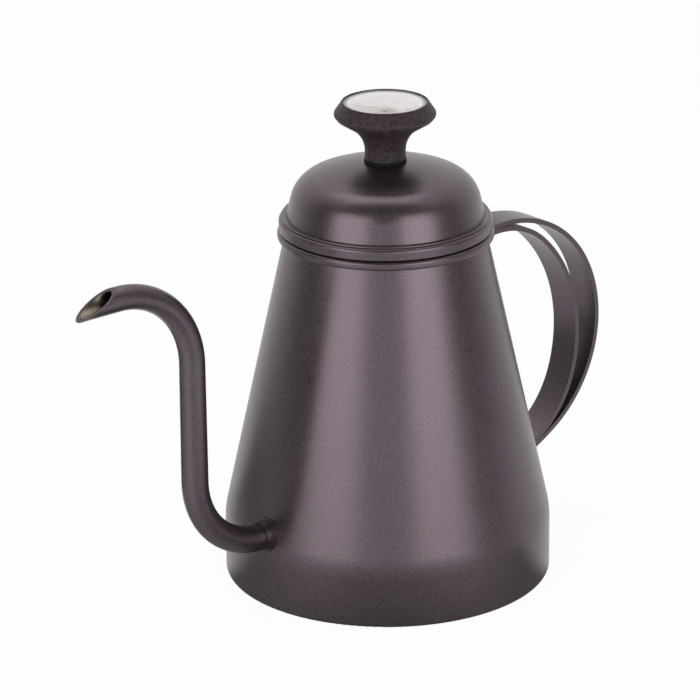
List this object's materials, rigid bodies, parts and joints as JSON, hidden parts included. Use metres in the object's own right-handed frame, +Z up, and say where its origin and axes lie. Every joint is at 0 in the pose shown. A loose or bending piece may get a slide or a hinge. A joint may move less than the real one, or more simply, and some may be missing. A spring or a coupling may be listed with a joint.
{
  "type": "gooseneck kettle",
  "caption": "Coated steel gooseneck kettle: conical body, thin curved spout, open double-strap handle and a lift-off domed lid whose knob holds a dial thermometer with a probe.",
  "frame": {"origin": "centre of the base's underside", "axes": "+Z up, the spout points along -X and the handle along +X"},
  "size_m": [0.2612, 0.13, 0.1937],
  "materials": {
    "coated_steel": "satin metallic coating with fine speckle",
    "base_steel": "brushed",
    "spreader": "mill",
    "fittings": "bright",
    "brass": "turned",
    "knob": "fine matte",
    "seal": "matte",
    "dial": "printed",
    "surround": "satin",
    "lens": "clear",
    "pointer": "enamel"
  },
  "bodies": {
    "kettle": {"body_shell": "coated_steel", "mouth_ring": "coated_steel", "base_floor": "base_steel", "heat_spreader": "spreader", "base_cap": "base_steel", "spout_tube": "coated_steel", "spout_sleeve": "coated_steel", "spout_saddle": "coated_steel", "handle_outer_strap": "coated_steel", "handle_inner_strap": "coated_steel"},
    "lid": {"lid_dome": "coated_steel", "lid_rim": "coated_steel", "lid_collar": "fittings", "knob_seal": "seal", "knob_stem": "knob", "knob_head": "knob", "fixing_sleeve": "brass", "lid_washer": "fittings", "lid_nut": "fittings", "thermometer_case": "fittings", "dial_spacer": "surround", "dial_plate": "dial", "dial_surround": "surround", "lens": "lens", "shaft_bush": "brass", "probe_tube": "fittings", "probe_tip": "fittings"},
    "pointer": {"pointer": "pointer", "pointer_shaft": "fittings"}
  },
  "joints": [
    {"name": "lid_lift", "type": "slide", "parent": "kettle", "child": "lid", "axis": [0, 0, 1], "range_m": [0, 0.125]},
    {"name": "pointer_turn", "type": "hinge", "parent": "lid", "child": "pointer", "pos_m": [0, 0, 0.19], "axis": [0, 0, 1], "range_deg": [-216, 54]}
  ]
}
